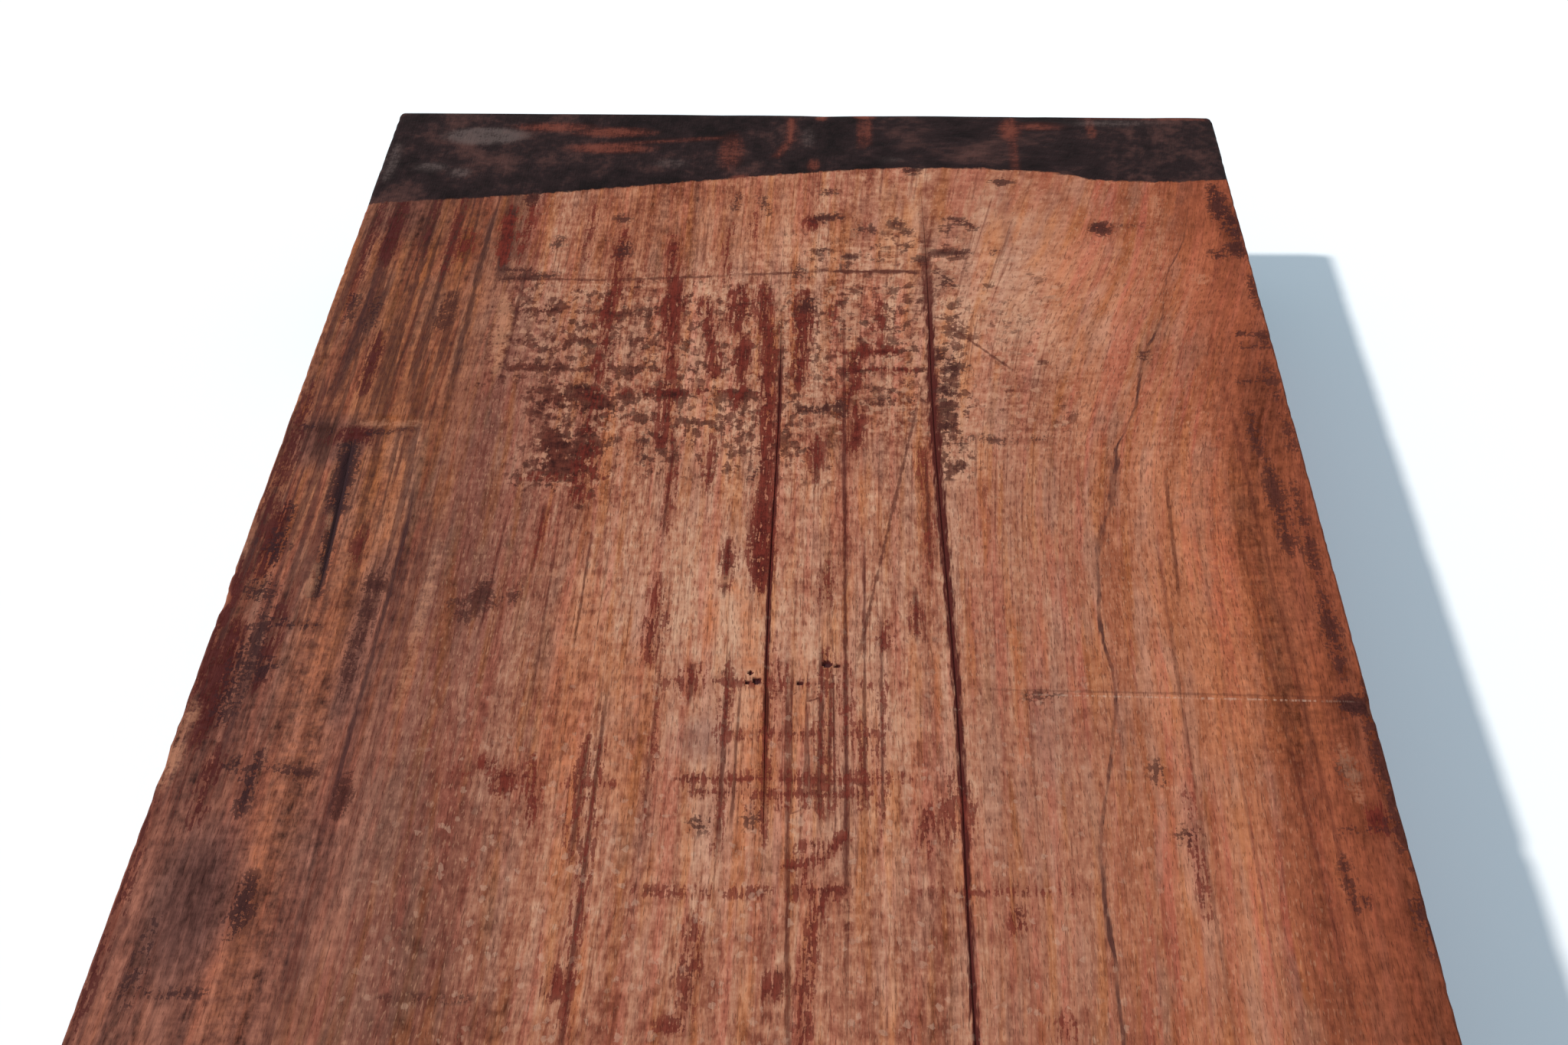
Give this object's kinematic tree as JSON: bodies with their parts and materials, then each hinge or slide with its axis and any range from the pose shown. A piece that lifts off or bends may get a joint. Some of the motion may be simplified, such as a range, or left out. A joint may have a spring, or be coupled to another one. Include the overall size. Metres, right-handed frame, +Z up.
{
  "type": "timber plank",
  "caption": "Rectangular sawn hardwood plank with worn edges, drying checks and one wax-sealed end; stock for joinery, shelves and turning.",
  "frame": {"origin": "middle of the underside", "axes": "+Y along the grain towards the sealed end, +X across the width, +Z up through the thickness to the skip-planed face"},
  "size_m": [0.2, 0.61, 0.045],
  "materials": {
    "hardwood": "skip-planed, dry and matte, with a dark wax seal on one end"
  },
  "bodies": {
    "root": {"plank": "hardwood"}
  },
  "joints": []
}
